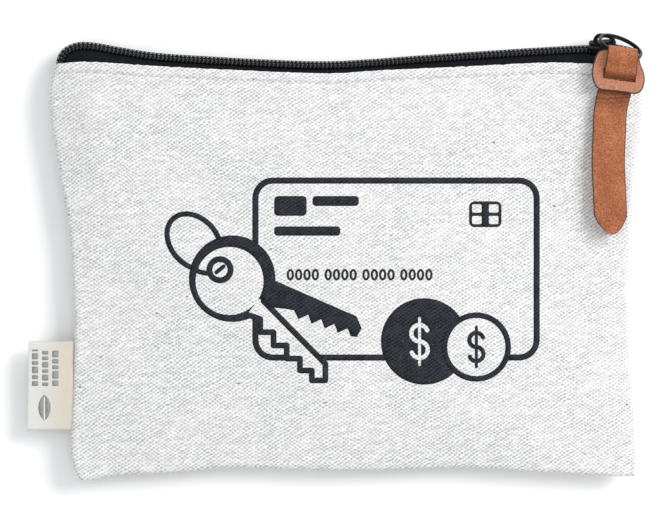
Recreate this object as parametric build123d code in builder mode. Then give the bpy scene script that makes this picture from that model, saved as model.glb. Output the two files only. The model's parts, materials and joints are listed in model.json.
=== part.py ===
from build123d import *
import math
import os

# A flat zippered pouch that lies on its back: X runs along the zipper, Y towards it,
# and Z is the thickness. All sizes are in millimetres.

os.makedirs("parts", exist_ok=True)

# Canvas panels
cloth = 0.8
seam_height = 7.0
seam_gap = 0.35
front_rise = 3.8
back_drop = 9.0
dome_power = 2.6
mouth_half = 4.7
mouth_from = 0.60
mouth_full = 0.86
grid_along = 25
grid_up = 21
trim_reach = 300.0

# Corners and edges of the panels, seen from the front
corner_bottom_left = (-76.6, -68.0)
corner_bottom_right = (91.2, -66.4)
corner_top_left = (-84.6, 58.8)
corner_top_right = (92.8, 58.8)
left_edge = [
    corner_bottom_left,
    (-79.9, -57.0),
    (-79.6, -36.0),
    (-79.3, -15.0),
    (-82.4, 20.0),
    (-86.2, 46.0),
    corner_top_left,
]
right_edge = [corner_bottom_right, (89.9, -40.0), (88.7, -8.0), (91.0, 25.0), (93.2, 44.0), corner_top_right]
bottom_edge = [corner_bottom_left, (-50.0, -65.2), (0.0, -64.2), (50.0, -64.2), corner_bottom_right]
top_edge = [corner_top_left, (-40.0, 58.4), (40.0, 58.4), corner_top_right]

# Zipper chain, straight along X
tape_thickness = 0.5
tape_top = 62.3
tape_bottom = 50.0
tape_stand = 4.25
tape_bend = 0.7
tape_edge = 0.95
tape_left = -83.6
tape_right = 91.2
coil_width = 1.74
coil_height = 1.3
coil_clearance = 0.06
coil_left = -83.0
coil_right = 90.4
coil_corner = 0.45
coil_spread = 1.1
coil_parts_from = -1.5
coil_parts_to = 2.5
coil_bend = 3.0
cord_radius = 0.28
cord_hole_radius = 0.34

# Slider, at the closed end of the chain
slider_x = 81.2
slider_half_length = 4.2
slider_tail_half = 2.65
slider_nose_half = 3.65
plate_thickness = 0.9
plate_clearance = 0.15
plate_corner = 0.9
plate_bevel = 0.6
flange_thickness = 0.55
flange_drop = 1.25
post_tail = 0.6
post_shoulder = 3.0
post_nose = 4.0
post_half = 0.75
crown_x = 81.7
crown_half_length = 2.95
crown_wire = 0.9
crown_top = 68.0
crown_radius = 1.3

# Split ring, hung through the crown
ring_radius = 6.65
ring_wire = 0.9
ring_turn = 0.46
ring_turn_offset = 0.22
ring_corner = 0.2
ring_lean = math.radians(26.5)
ring_x = 85.6
ring_rise = 4.0
ring_eye_height = 66.35

# Leather pull
leather = 1.2
loop_radius = 2.3
loop_shift = 0.9
pull_turn = 3.2
pull_tilt = 1.6
neck_width = 8.6
neck_tuck = 1.5
neck_rise = 1.6
neck_end = -2.4
strap_width = 10.0
strap_end = -54.8
tip_length = 5.6
head_width = 16.0
head_top = -2.6
head_bottom = -12.4
slot_top = -5.6
slot_bottom = -7.7
slot_width = 10.8
head_level = -0.2
head_widest = -8.0
head_corner = 1.4
head_corner_rise = 0.6
lap_gap = 0.25
strap_start = -0.6
strap_slope_from = -2.2
strap_slope_to = -4.6
lap_bend = 0.8
neck_bend = 0.9
loop_bend_slack = 0.05
tip_shoulder = 2.4
tip_inset = 1.4
tip_shift = 0.4
blank_depth = 20.0

# Side label
label_left = -93.37
label_root = -80.6
label_top = -25.4
label_bottom = -52.4
label_thickness = 0.6
label_round = 0.28

# Sewing
stitch_length = 2.2
stitch_width = 0.5
stitch_height = 0.35
stitch_pitch = 2.9
stitch_row = 54.9
stitch_count = 58
stitch_centre = 4.0
stitch_gap = 0.02
thread_radius = 0.25
thread_route = [
    (-82.4, 40.0, seam_height),
    (-77.4, -10.0, seam_height),
    (-77.0, -63.4, seam_height),
    (0.0, -62.0, seam_height),
    (88.4, -63.4, seam_height),
    (86.8, -10.0, seam_height),
    (90.4, 40.0, seam_height),
]
thread_bends = [60, 4, 400, 4, 60]


def edge_samples(points, count):
    """Evenly spaced points on the smooth curve through the given points."""
    curve = Spline(*points, mode=Mode.PRIVATE)
    return [curve @ (i / (count - 1)) for i in range(count)]


def smooth(t):
    """Smooth step from 0 to 1."""
    t = min(max(t, 0.0), 1.0)
    return t * t * (3.0 - 2.0 * t)


def panel_face(side, drop, lift):
    """Domed sheet over the outline, on the front (side 1) or the back (side -1)."""
    bottom = edge_samples(bottom_edge, grid_along)
    top = edge_samples(top_edge, grid_along)
    left = edge_samples(left_edge, grid_up)
    right = edge_samples(right_edge, grid_up)
    rows = []
    for i in range(grid_along):
        s = i / (grid_along - 1)
        row = []
        for j in range(grid_up):
            t = j / (grid_up - 1)
            sides = left[j] * (1 - s) + right[j] * s
            ends = bottom[i] * (1 - t) + top[i] * t
            low = bottom[0] * (1 - s) + bottom[-1] * s
            high = top[0] * (1 - s) + top[-1] * s
            place = sides + ends - (low * (1 - t) + high * t)
            dome = (1 - abs(2 * s - 1) ** dome_power) * (1 - abs(2 * t - 1) ** dome_power)
            mouth = (mouth_half - seam_gap) * smooth((t - mouth_from) / (mouth_full - mouth_from))
            depth = seam_gap + math.hypot(drop * dome, mouth) + lift
            row.append(Vector(place.X, place.Y, seam_height + side * depth))
        rows.append(row)
    return Face.make_surface_from_array_of_points(rows, tol=0.005, min_deg=3, max_deg=6)


def finish(piece, name):
    """Labels a piece and writes its file."""
    piece.part.label = name
    export_step(piece.part, f"parts/{name}.step")


# Front panel: a domed cloth shell, open downwards
with BuildPart() as front_panel:
    extrude(panel_face(1, front_rise, 0), amount=cloth, dir=(0, 0, 1))
finish(front_panel, "front_panel")

# Back panel: a shallow cloth tray with a flat floor that the pouch rests on
upwards = (Align.CENTER, Align.CENTER, Align.MIN)
with BuildPart() as back_room:
    extrude(panel_face(-1, back_drop, 0), amount=3 * seam_height, dir=(0, 0, 1))
    with Locations((0, 0, cloth)):
        Box(trim_reach, trim_reach, 4 * seam_height, align=upwards, mode=Mode.INTERSECT)

with BuildPart() as back_panel:
    extrude(panel_face(-1, back_drop, cloth), amount=3 * seam_height, dir=(0, 0, 1))
    Box(trim_reach, trim_reach, seam_height - seam_gap, align=upwards, mode=Mode.INTERSECT)
    add(back_room.part, mode=Mode.SUBTRACT)
finish(back_panel, "back_panel")


def stitch_row_part(side, drop):
    """Row of separate stitches that lie on a panel, just below the zipper tape."""
    with BuildPart() as stitches:
        extrude(panel_face(side, drop, cloth + stitch_gap), amount=stitch_height, dir=(0, 0, side))
        with BuildSketch(Plane.XY) as dashes:
            with Locations((stitch_centre, stitch_row)):
                with GridLocations(stitch_pitch, 1, stitch_count, 1):
                    SlotOverall(stitch_length, stitch_width)
        extrude(dashes.sketch, amount=4 * seam_height, mode=Mode.INTERSECT)
    return stitches


finish(stitch_row_part(1, front_rise), "front_topstitch")
finish(stitch_row_part(-1, back_drop), "back_topstitch")

# Seam thread: one run down the left seam, along the bottom and up the right seam
with BuildPart() as seam_thread:
    with BuildLine() as seam_run:
        FilletPolyline(*thread_route, radius=thread_bends)
    with BuildSketch(Plane(origin=seam_run.line @ 0, z_dir=seam_run.line % 0)):
        Circle(thread_radius)
    sweep()
finish(seam_thread, "seam_thread")


def tape_part(side):
    """Woven tape: level under its coil, then bent down inside the panel."""
    level = tape_top - tape_thickness / 2
    with BuildPart() as tape:
        with BuildSketch(Plane.YZ.offset(tape_left)):
            with BuildLine():
                FilletPolyline(
                    (level, seam_height + side * tape_edge),
                    (level, seam_height + side * tape_stand),
                    (tape_bottom, seam_height + side * tape_stand),
                    radius=tape_bend,
                )
            trace(line_width=tape_thickness)
        extrude(amount=tape_right - tape_left)
    return tape


def coil_path(side):
    """Middle line of a coil: straight, then spread to one side in front of the slider."""
    middle = tape_top + coil_height / 2
    closed = seam_height + side * (coil_clearance + coil_width / 2)
    spread = closed + side * coil_spread
    with BuildLine() as path:
        FilletPolyline(
            (coil_left, middle, closed),
            (slider_x + coil_parts_from, middle, closed),
            (slider_x + coil_parts_to, middle, spread),
            (coil_right, middle, spread),
            radius=coil_bend,
        )
    return path


def coil_part(side):
    """Coil of one side as a plain run with the hole of its filler cord."""
    path = coil_path(side)
    start = Plane(origin=path.line @ 0, x_dir=(0, 1, 0), z_dir=path.line % 0)
    with BuildPart() as coil:
        with BuildSketch(start):
            RectangleRounded(coil_height, coil_width, coil_corner)
            Circle(cord_hole_radius, mode=Mode.SUBTRACT)
        sweep(path=path.line)
    return coil


def coil_cord_part(side):
    """Filler cord inside one coil."""
    path = coil_path(side)
    with BuildPart() as cord:
        with BuildSketch(Plane(origin=path.line @ 0, z_dir=path.line % 0)):
            Circle(cord_radius)
        sweep(path=path.line)
    return cord


for side, place in ((1, "front"), (-1, "back")):
    finish(tape_part(side), f"{place}_tape")
    finish(coil_part(side), f"{place}_coil")
    finish(coil_cord_part(side), f"{place}_coil_cord")


def slider_level(height):
    """Plane across the chain, at a height above the pouch's middle line."""
    return Plane(origin=(slider_x, height, seam_height), x_dir=(1, 0, 0), z_dir=(0, 1, 0))


def slider_outline(inset):
    """Slider seen along its post: narrow at the tail, wide at the nose."""
    return [
        (-slider_half_length, -slider_tail_half + inset),
        (slider_half_length, -slider_nose_half + inset),
        (slider_half_length, slider_nose_half - inset),
        (-slider_half_length, slider_tail_half - inset),
    ]


lower_plate_top = tape_top - tape_thickness - plate_clearance
upper_plate_bottom = tape_top + coil_height + plate_clearance
upper_plate_top = upper_plate_bottom + plate_thickness

# Slider body: two plates joined by the post, with side flanges that guide the coils
with BuildPart() as slider_body:
    with BuildSketch(slider_level(lower_plate_top - plate_thickness)) as lower_plate:
        Polygon(*slider_outline(0), align=None)
        fillet(lower_plate.vertices(), radius=plate_corner)
    extrude(amount=plate_thickness)
    with BuildSketch(slider_level(upper_plate_bottom)) as upper_plate:
        Polygon(*slider_outline(0), align=None)
        fillet(upper_plate.vertices(), radius=plate_corner)
    extrude(amount=plate_thickness)
    with BuildSketch(slider_level(upper_plate_bottom - flange_drop)) as flanges:
        Polygon(*slider_outline(0), align=None)
        fillet(flanges.vertices(), radius=plate_corner)
        Polygon(*slider_outline(flange_thickness), align=None, mode=Mode.SUBTRACT)
    extrude(amount=flange_drop)
    with BuildSketch(slider_level(lower_plate_top)) as post:
        Polygon(
            (post_tail, 0),
            (post_shoulder, -post_half),
            (post_nose, -post_half),
            (post_nose, post_half),
            (post_shoulder, post_half),
            align=None,
        )
    extrude(amount=upper_plate_bottom - lower_plate_top)
    chamfer(slider_body.faces().sort_by(Axis.Y)[-1].edges(), length=plate_bevel)
finish(slider_body, "slider_body")

# Slider crown: an arch of round wire that holds the ring
with BuildPart() as slider_crown:
    crown_line = crown_top - crown_wire / 2
    with BuildLine() as arch:
        FilletPolyline(
            (crown_x - crown_half_length, upper_plate_top, seam_height),
            (crown_x - crown_half_length, crown_line, seam_height),
            (crown_x + crown_half_length, crown_line, seam_height),
            (crown_x + crown_half_length, upper_plate_top, seam_height),
            radius=crown_radius,
        )
    with BuildSketch(Plane(origin=arch.line @ 0, z_dir=arch.line % 0)):
        Circle(crown_wire / 2)
    sweep()
finish(slider_crown, "slider_crown")

# Split ring: two turns of wire side by side, leaning forwards over the front panel
ring_up = Vector(0, -math.sin(ring_lean), math.cos(ring_lean))
ring_normal = Vector(0, math.cos(ring_lean), math.sin(ring_lean))
ring_centre = Vector(
    ring_x,
    ring_eye_height - ring_rise * math.tan(ring_lean),
    seam_height + ring_rise,
)
with BuildPart() as split_ring:
    with BuildSketch(Plane(origin=ring_centre, x_dir=(1, 0, 0), z_dir=ring_up)):
        with Locations((ring_radius, ring_turn_offset), (ring_radius, -ring_turn_offset)):
            RectangleRounded(ring_wire, ring_turn, ring_corner)
    revolve(axis=Axis(ring_centre, ring_normal))
finish(split_ring, "split_ring")

# Leather pull: one blank whose neck folds over the ring and whose strap tucks through its head
loop_centre = ring_centre + ring_up * (ring_radius - loop_shift)
pull_up = Vector(math.sin(math.radians(pull_turn)), math.cos(math.radians(pull_turn)), 0)
pull_across = Vector(math.cos(math.radians(pull_turn)), -math.sin(math.radians(pull_turn)), 0)
pull_normal = pull_across.cross(pull_up).rotate(Axis((0, 0, 0), pull_across), pull_tilt)
pull_plane = Plane(origin=loop_centre, x_dir=pull_across, z_dir=pull_normal)
pull_side = Plane(origin=loop_centre, x_dir=pull_plane.y_dir, z_dir=pull_across)
strap_over = head_level + leather + lap_gap
strap_under = head_level - leather - lap_gap
slot_middle = (slot_top + slot_bottom) / 2
loop_bend = loop_radius - loop_bend_slack
head_corner_right = (head_width / 2 - head_corner, head_bottom + head_corner_rise)
head_corner_left = (-head_width / 2 + head_corner, head_bottom + head_corner_rise)

with BuildPart() as leather_pull:
    with BuildSketch(pull_side.offset(-neck_width / 2)):
        with BuildLine():
            FilletPolyline(
                (head_top - neck_tuck, head_level),
                (head_top, head_level),
                (head_top + neck_rise, -loop_radius),
                (loop_radius, -loop_radius),
                (loop_radius, loop_radius),
                (neck_end, loop_radius),
                radius=[neck_bend, neck_bend, loop_bend, loop_bend],
            )
        trace(line_width=leather)
    extrude(amount=neck_width)
    with BuildSketch(pull_side.offset(-strap_width / 2)):
        with BuildLine():
            FilletPolyline(
                (strap_start, loop_radius),
                (strap_slope_from, loop_radius),
                (strap_slope_to, strap_over),
                (slot_middle, strap_over),
                (slot_middle, strap_under),
                (strap_end, strap_under),
                radius=[neck_bend, neck_bend, lap_bend, lap_bend],
            )
        trace(line_width=leather)
    extrude(amount=strap_width)
    with BuildSketch(pull_plane.offset(head_level - leather / 2)) as head:
        with BuildLine():
            Polyline((-neck_width / 2, head_top), (neck_width / 2, head_top))
            Spline((neck_width / 2, head_top), (head_width / 2, head_widest), head_corner_right)
            Line(head_corner_right, (0, head_bottom))
            Line((0, head_bottom), head_corner_left)
            Spline(head_corner_left, (-head_width / 2, head_widest), (-neck_width / 2, head_top))
        make_face()
        with Locations((0, slot_middle)):
            Rectangle(slot_width, slot_top - slot_bottom, mode=Mode.SUBTRACT)
    extrude(amount=leather)
    with BuildSketch(pull_plane.offset(-blank_depth / 2)) as blank:
        with Locations((0, head_bottom)):
            Rectangle(2 * head_width, -2 * head_bottom + 2 * strap_width)
        with BuildLine():
            Polyline(
                (strap_width / 2, 0),
                (strap_width / 2, strap_end + tip_length),
                (strap_width / 2 - tip_inset, strap_end + tip_shoulder),
                (tip_shift, strap_end),
                (-strap_width / 2 + tip_inset, strap_end + tip_shoulder),
                (-strap_width / 2, strap_end + tip_length),
                (-strap_width / 2, 0),
                close=True,
            )
        make_face()
    extrude(amount=blank_depth, mode=Mode.INTERSECT)
finish(leather_pull, "leather_pull")

# Side label: a folded ribbon held in the left seam
with BuildPart() as side_label:
    with BuildSketch(Plane.XY.offset(seam_height - label_thickness / 2)):
        with Locations(((label_left + label_root) / 2, (label_top + label_bottom) / 2)):
            Rectangle(label_root - label_left, label_top - label_bottom)
    extrude(amount=label_thickness)
    fillet(side_label.edges().filter_by(Axis.Y), radius=label_round)
finish(side_label, "side_label")
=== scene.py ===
import json
import math
import random

import bmesh
import bpy
import numpy as np
from mathutils import Matrix, Vector, noise
from mathutils.bvhtree import BVHTree
from mathutils.geometry import delaunay_2d_cdt


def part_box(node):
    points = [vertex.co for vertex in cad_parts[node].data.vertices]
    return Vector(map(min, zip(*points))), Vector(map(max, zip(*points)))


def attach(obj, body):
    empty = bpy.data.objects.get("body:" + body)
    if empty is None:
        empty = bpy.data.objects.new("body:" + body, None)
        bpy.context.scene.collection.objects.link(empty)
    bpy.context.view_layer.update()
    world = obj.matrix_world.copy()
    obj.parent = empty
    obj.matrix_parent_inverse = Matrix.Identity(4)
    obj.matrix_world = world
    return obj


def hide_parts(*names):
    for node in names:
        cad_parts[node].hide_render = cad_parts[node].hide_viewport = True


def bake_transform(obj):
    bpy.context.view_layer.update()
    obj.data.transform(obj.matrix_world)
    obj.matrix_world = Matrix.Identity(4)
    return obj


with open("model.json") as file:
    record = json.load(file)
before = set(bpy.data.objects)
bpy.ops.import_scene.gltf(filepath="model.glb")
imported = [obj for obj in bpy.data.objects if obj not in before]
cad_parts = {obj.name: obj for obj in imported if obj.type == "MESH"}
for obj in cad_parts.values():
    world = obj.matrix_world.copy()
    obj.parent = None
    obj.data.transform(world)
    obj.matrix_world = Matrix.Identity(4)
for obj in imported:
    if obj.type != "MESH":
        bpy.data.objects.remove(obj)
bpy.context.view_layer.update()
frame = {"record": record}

# Lengths are in millimetres, in the frame's own axes, and become metres when a mesh is made.
MM = 0.001


def cad(node):
    """Lowest and highest corner of a CAD node."""
    low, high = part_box(node)
    return Vector(low) / MM, Vector(high) / MM


# Heights and places that the CAD model fixes
JOINTS = {joint["name"]: joint for joint in frame["record"]["behaviour"]["joints"]}
CROWN_LOW, CROWN_HIGH = cad("slider_crown")
SEAM_Z = (CROWN_LOW.z + CROWN_HIGH.z) / 2
SLIDER_X = sum(corner.x for corner in cad("slider_body")) / 2
RING_LOW, RING_HIGH = cad("split_ring")
PULL_PIVOT = Vector(JOINTS["pull_swing"]["pos_m"]) / MM
LABEL_LOW, LABEL_HIGH = cad("side_label")

# Edges of the pouch, seen from the front
LEFT_EDGE = [(-77.4, -67.5), (-79.4, -63.8), (-80.2, -57.0), (-79.6, -44.0), (-79.0, -19.3), (-79.5, -8.0),
             (-80.5, 6.8), (-83.1, 22.6), (-85.7, 38.6), (-86.6, 47.0), (-86.0, 54.0), (-84.6, 58.3)]
RIGHT_EDGE = [(91.0, -66.3), (91.3, -60.0), (90.6, -47.3), (89.7, -34.9), (88.7, -12.0), (89.2, 2.2),
              (90.6, 22.5), (92.5, 34.9), (93.2, 45.0), (93.2, 52.0), (92.4, 57.3)]
BOTTOM_EDGE = [(-77.4, -67.5), (-73.8, -67.6), (-67.2, -66.2), (-46.2, -65.0), (-30.2, -63.7), (1.4, -64.6),
               (38.4, -63.7), (57.2, -64.7), (72.6, -65.6), (85.0, -66.4), (91.0, -66.3)]
TOP_EDGE = [(-84.6, 58.3), (-74.8, 58.8), (-54.4, 57.5), (-35.3, 56.5), (-3.3, 55.3), (13.8, 56.2),
            (38.4, 57.3), (63.3, 58.5), (77.0, 58.2), (86.0, 57.6), (92.4, 57.3)]


# ---------------------------------------------------------------- geometry helpers


def smooth(t):
    """Smooth step from 0 to 1, for numbers and arrays."""
    t = np.clip(t, 0.0, 1.0)
    return t * t * (3 - 2 * t)


def run_along(line):
    """Distance of each point of a line from its start."""
    return np.r_[0, np.cumsum(np.linalg.norm(np.diff(line, axis=0), axis=1))]


def tangents(line):
    """Unit tangents at the points of a line."""
    tangent = np.gradient(line, axis=0)
    return tangent / np.linalg.norm(tangent, axis=1)[:, None]


def curve_points(points, count):
    """Evenly spaced points on the smooth curve through the given points."""
    p = np.array(points, float)
    ends = np.vstack([2 * p[0] - p[1], p, 2 * p[-1] - p[-2]])
    fine = []
    for a, b, c, d in zip(ends, ends[1:], ends[2:], ends[3:]):
        for t in np.arange(0, 1, 1 / 24):
            fine.append(0.5 * (2 * b + (c - a) * t + (2 * a - 5 * b + 4 * c - d) * t**2
                               + (3 * b - a - 3 * c + d) * t**3))
    fine.append(p[-1])
    fine = np.array(fine)
    run = run_along(fine)
    at = np.linspace(0, run[-1], count)
    return np.column_stack([np.interp(at, run, fine[:, k]) for k in range(fine.shape[1])])


def sample(curve, t):
    """Points at fractions t along an evenly spaced curve."""
    at = np.clip(np.asarray(t, float), 0, 1) * (len(curve) - 1)
    return np.column_stack([np.interp(at, np.arange(len(curve)), curve[:, k]) for k in range(curve.shape[1])])


def value_noise(x, y, scale, seed=0.0):
    """Smooth noise, about -1 to 1, with features about scale millimetres across."""
    flat = [noise.noise(Vector((a / scale, b / scale, seed))) for a, b in zip(np.ravel(x), np.ravel(y))]
    return np.array(flat).reshape(np.shape(x)) * 1.6


def add_object(name, mesh, materials):
    """Puts a smooth-shaded mesh with its materials into the scene."""
    mesh.polygons.foreach_set("use_smooth", [True] * len(mesh.polygons))
    for material in materials:
        mesh.materials.append(material)
    obj = bpy.data.objects.new(name, mesh)
    bpy.context.scene.collection.objects.link(obj)
    return obj


def make_object(name, vertices, faces, *materials):
    """A mesh object from vertices in millimetres."""
    mesh = bpy.data.meshes.new(name)
    mesh.from_pydata([tuple(float(c) * MM for c in v) for v in vertices], [], faces)
    mesh.validate()
    mesh.update()
    return add_object(name, mesh, materials)


def from_bmesh(name, bm, *materials):
    """A mesh object from a bmesh in millimetres, which is used up."""
    mesh = bpy.data.meshes.new(name)
    bm.to_mesh(mesh)
    bm.free()
    mesh.transform(Matrix.Scale(MM, 4))
    return add_object(name, mesh, materials)


def grid_faces(rows, columns, closed=False):
    """Quads of a grid stored row by row; closed joins its last column to its first."""
    faces = []
    for i in range(rows - 1):
        for j in range(columns if closed else columns - 1):
            here, above, beside = i * columns, (i + 1) * columns, (j + 1) % columns
            faces.append((here + j, here + beside, above + beside, above + j))
    return faces


def capped_rings(rings, around):
    """Faces of a tube made of rings of vertices, with a cap at each end."""
    last = (rings - 1) * around
    caps = [tuple(range(around))[::-1], tuple(range(last, last + around))]
    return grid_faces(rings, around, closed=True) + caps


def apply_modifiers(obj):
    """Turns the modifiers of an object into mesh."""
    depsgraph = bpy.context.evaluated_depsgraph_get()
    mesh = bpy.data.meshes.new_from_object(obj.evaluated_get(depsgraph))
    old = obj.data
    obj.modifiers.clear()
    obj.data = mesh
    bpy.data.meshes.remove(old)
    return obj


def thicken(obj, thickness, offset=-1.0):
    """Gives a sheet its thickness: behind it (-1) or half on each side (0)."""
    solid = obj.modifiers.new("thickness", "SOLIDIFY")
    solid.thickness = thickness * MM
    solid.offset = offset
    solid.use_even_offset = False
    return apply_modifiers(obj)


def soften(obj, width, segments, sharper_than, **settings):
    """Rounds the edges that are sharper than an angle in degrees, and applies all modifiers."""
    soft = obj.modifiers.new("soft_edges", "BEVEL")
    soft.width = width * MM
    soft.segments = segments
    soft.limit_method = "ANGLE"
    soft.angle_limit = math.radians(sharper_than)
    for name, value in settings.items():
        setattr(soft, name, value)
    return apply_modifiers(obj)


def face_outwards(obj):
    """Turns the faces of a closed mesh outwards, and those of a sheet all one way."""
    bm = bmesh.new()
    bm.from_mesh(obj.data)
    bmesh.ops.recalc_face_normals(bm, faces=bm.faces)
    bm.to_mesh(obj.data)
    bm.free()
    return obj


def tube(name, line, section, material, up=(0, 0, 1)):
    """Sweeps a closed section of (side, up) points along a line, with capped ends."""
    line = np.asarray(line, float)
    tangent = tangents(line)
    side = np.cross(np.broadcast_to(np.array(up, float), tangent.shape), tangent)
    side /= np.linalg.norm(side, axis=1)[:, None]
    rise = np.cross(tangent, side)
    vertices = [p + a * s + b * u for p, a, b in zip(line, side, rise) for s, u in section]
    return face_outwards(make_object(name, vertices, capped_rings(len(line), len(section)), material))


def circle(radius, count, flat=1.0):
    """Points round a circle, squeezed in its second direction by flat."""
    return [(radius * math.cos(2 * math.pi * k / count), flat * radius * math.sin(2 * math.pi * k / count))
            for k in range(count)]


def arc(cx, cy, radius, start, end, steps=16):
    """Points on an arc, from one angle in degrees to another."""
    angles = [math.radians(start + (end - start) * k / steps) for k in range(steps + 1)]
    return [(cx + radius * math.cos(a), cy + radius * math.sin(a)) for a in angles]


def round_corners(centres, radius, steps):
    """Outline with quarter circles about four centres, anticlockwise from the lower right one."""
    return [p for k, (cx, cy) in enumerate(centres) for p in arc(cx, cy, radius, 90 * k - 90, 90 * k, steps)]


def inside(point, outline):
    """Whether a point is inside a closed outline."""
    x, y = point
    odd = False
    for (x0, y0), (x1, y1) in zip(outline, outline[1:] + outline[:1]):
        if (y0 > y) != (y1 > y) and x < (x1 - x0) * (y - y0) / (y1 - y0) + x0:
            odd = not odd
    return odd


def divided(outline, step):
    """Closed outline with points no further apart than step."""
    points = []
    for (x0, y0), (x1, y1) in zip(outline, outline[1:] + outline[:1]):
        parts = max(1, math.ceil(math.hypot(x1 - x0, y1 - y0) / step))
        points += [(x0 + (x1 - x0) * k / parts, y0 + (y1 - y0) * k / parts) for k in range(parts)]
    return points


def fill(bm, outlines, holes, height_at, step, clear):
    """Fills outlines, apart from holes, with triangles; inner points stay clear of the outlines."""
    points, edges = [], []
    for outline in outlines + holes:
        start = len(points)
        points += outline
        edges += [(start + k, start + (k + 1) % len(outline)) for k in range(len(outline))]
    rim = np.array(points)
    low, high = rim.min(0), rim.max(0)
    for x in np.arange(low[0] + step / 2, high[0], step):
        for y in np.arange(low[1] + step / 2, high[1], step):
            if np.min(np.hypot(rim[:, 0] - x, rim[:, 1] - y)) > clear:
                points.append((x, y))
    flat, _, triangles, _, _, _ = delaunay_2d_cdt([Vector(p) for p in points], edges, [], 0, 1e-6)
    corners = [bm.verts.new((p.x, p.y, height_at(p.x, p.y))) for p in flat]
    for triangle in triangles:
        middle = sum((flat[k] for k in triangle), Vector((0, 0))) / 3
        if any(inside(middle, o) for o in outlines) and not any(inside(middle, h) for h in holes):
            bm.faces.new([corners[k] for k in triangle])


def face_up(bm):
    """Drops loose points and turns the faces upwards."""
    bmesh.ops.delete(bm, geom=[v for v in bm.verts if not v.link_faces], context="VERTS")
    bmesh.ops.recalc_face_normals(bm, faces=bm.faces)
    for face in bm.faces:
        if face.normal.z < 0:
            face.normal_flip()


def join(name, objects):
    """Joins mesh objects into one, and keeps their materials."""
    bpy.ops.object.select_all(action="DESELECT")
    for obj in objects:
        obj.select_set(True)
    bpy.context.view_layer.objects.active = objects[0]
    bpy.ops.object.join()
    objects[0].name = name
    objects[0].data.name = name
    return objects[0]


def settle(piece, body, node):
    """Makes a piece move with a body, and hides the CAD node that it stands for."""
    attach(piece, body)
    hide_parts(node)


# ---------------------------------------------------------------- materials


class Graph:
    """Short names for the shader nodes that the materials use."""

    def __init__(self, name):
        self.material = bpy.data.materials.new(name)
        self.material.use_nodes = True
        self.nodes = self.material.node_tree.nodes
        self.links = self.material.node_tree.links
        self.shader = self.nodes["Principled BSDF"]
        self.place = self.nodes.new("ShaderNodeTexCoord").outputs["Object"]

    def put(self, socket, value):
        """Links a socket, or sets it to a number or colour."""
        if isinstance(value, bpy.types.NodeSocket):
            self.links.new(value, socket)
        elif isinstance(value, tuple):
            socket.default_value = (*value, 1.0)
        else:
            socket.default_value = value

    def math(self, operation, *values):
        node = self.nodes.new("ShaderNodeMath")
        node.operation = operation
        for socket, value in zip(node.inputs, values):
            self.put(socket, value)
        return node.outputs[0]

    def plus(self, a, b):
        return self.math("ADD", a, b)

    def minus(self, a, b):
        return self.math("SUBTRACT", a, b)

    def times(self, a, b):
        return self.math("MULTIPLY", a, b)

    def waves(self, distance, length):
        """Sine of a distance, with waves of a length in millimetres."""
        return self.math("SINE", self.times(distance, 2 * math.pi / length))

    def millimetres(self, rotate=(0, 0, 0), stretch=(1, 1, 1)):
        """The object's coordinates in millimetres, turned and stretched."""
        node = self.nodes.new("ShaderNodeMapping")
        self.put(node.inputs["Vector"], self.place)
        node.inputs["Rotation"].default_value = rotate
        node.inputs["Scale"].default_value = [s / MM for s in stretch]
        return node.outputs[0]

    def split(self, vector):
        node = self.nodes.new("ShaderNodeSeparateXYZ")
        self.put(node.inputs[0], vector)
        return node.outputs

    def noise(self, vector, size, detail=2.0, roughness=0.5):
        """Noise from 0 to 1 with features about size millimetres across."""
        node = self.nodes.new("ShaderNodeTexNoise")
        self.put(node.inputs["Vector"], vector)
        node.inputs["Scale"].default_value = 1 / size
        node.inputs["Detail"].default_value = detail
        node.inputs["Roughness"].default_value = roughness
        return node.outputs["Fac"]

    def voronoi(self, vector, size):
        """Distance to the middle of a cell about size millimetres across, and the cell's colour."""
        node = self.nodes.new("ShaderNodeTexVoronoi")
        self.put(node.inputs["Vector"], vector)
        node.inputs["Scale"].default_value = 1 / size
        return node.outputs["Distance"], node.outputs["Color"]

    def ramp(self, value, low, high, out_low=0.0, out_high=1.0):
        """Smooth step of a value, from low to high."""
        node = self.nodes.new("ShaderNodeMapRange")
        node.interpolation_type = "SMOOTHSTEP"
        for socket, number in zip(node.inputs, (value, low, high, out_low, out_high)):
            self.put(socket, number)
        return node.outputs[0]

    def mix(self, amount, a, b):
        """Colour between a and b."""
        node = self.nodes.new("ShaderNodeMix")
        node.data_type = "RGBA"
        self.put(node.inputs["Factor"], amount)
        self.put(node.inputs[6], a)
        self.put(node.inputs[7], b)
        return node.outputs[2]

    def bump(self, height, distance, strength=1.0):
        """Bump whose full height is distance millimetres."""
        node = self.nodes.new("ShaderNodeBump")
        node.inputs["Strength"].default_value = strength
        node.inputs["Distance"].default_value = distance * MM
        self.put(node.inputs["Height"], height)
        return node.outputs[0]

    def finish(self, colour, roughness, normal=None, **sockets):
        """The finished material: colour, roughness, bump and constants on the shader's own sockets."""
        self.put(self.shader.inputs["Base Color"], colour)
        self.put(self.shader.inputs["Roughness"], roughness)
        if normal:
            self.put(self.shader.inputs["Normal"], normal)
        for name, value in sockets.items():
            self.shader.inputs[name.replace("_", " ").title().replace("Ior", "IOR")].default_value = value
        return self.material


# Canvas weave: half the distance between bumps in a row, and between rows
WEAVE_ACROSS = 0.86
WEAVE_UP = 0.56


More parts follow.
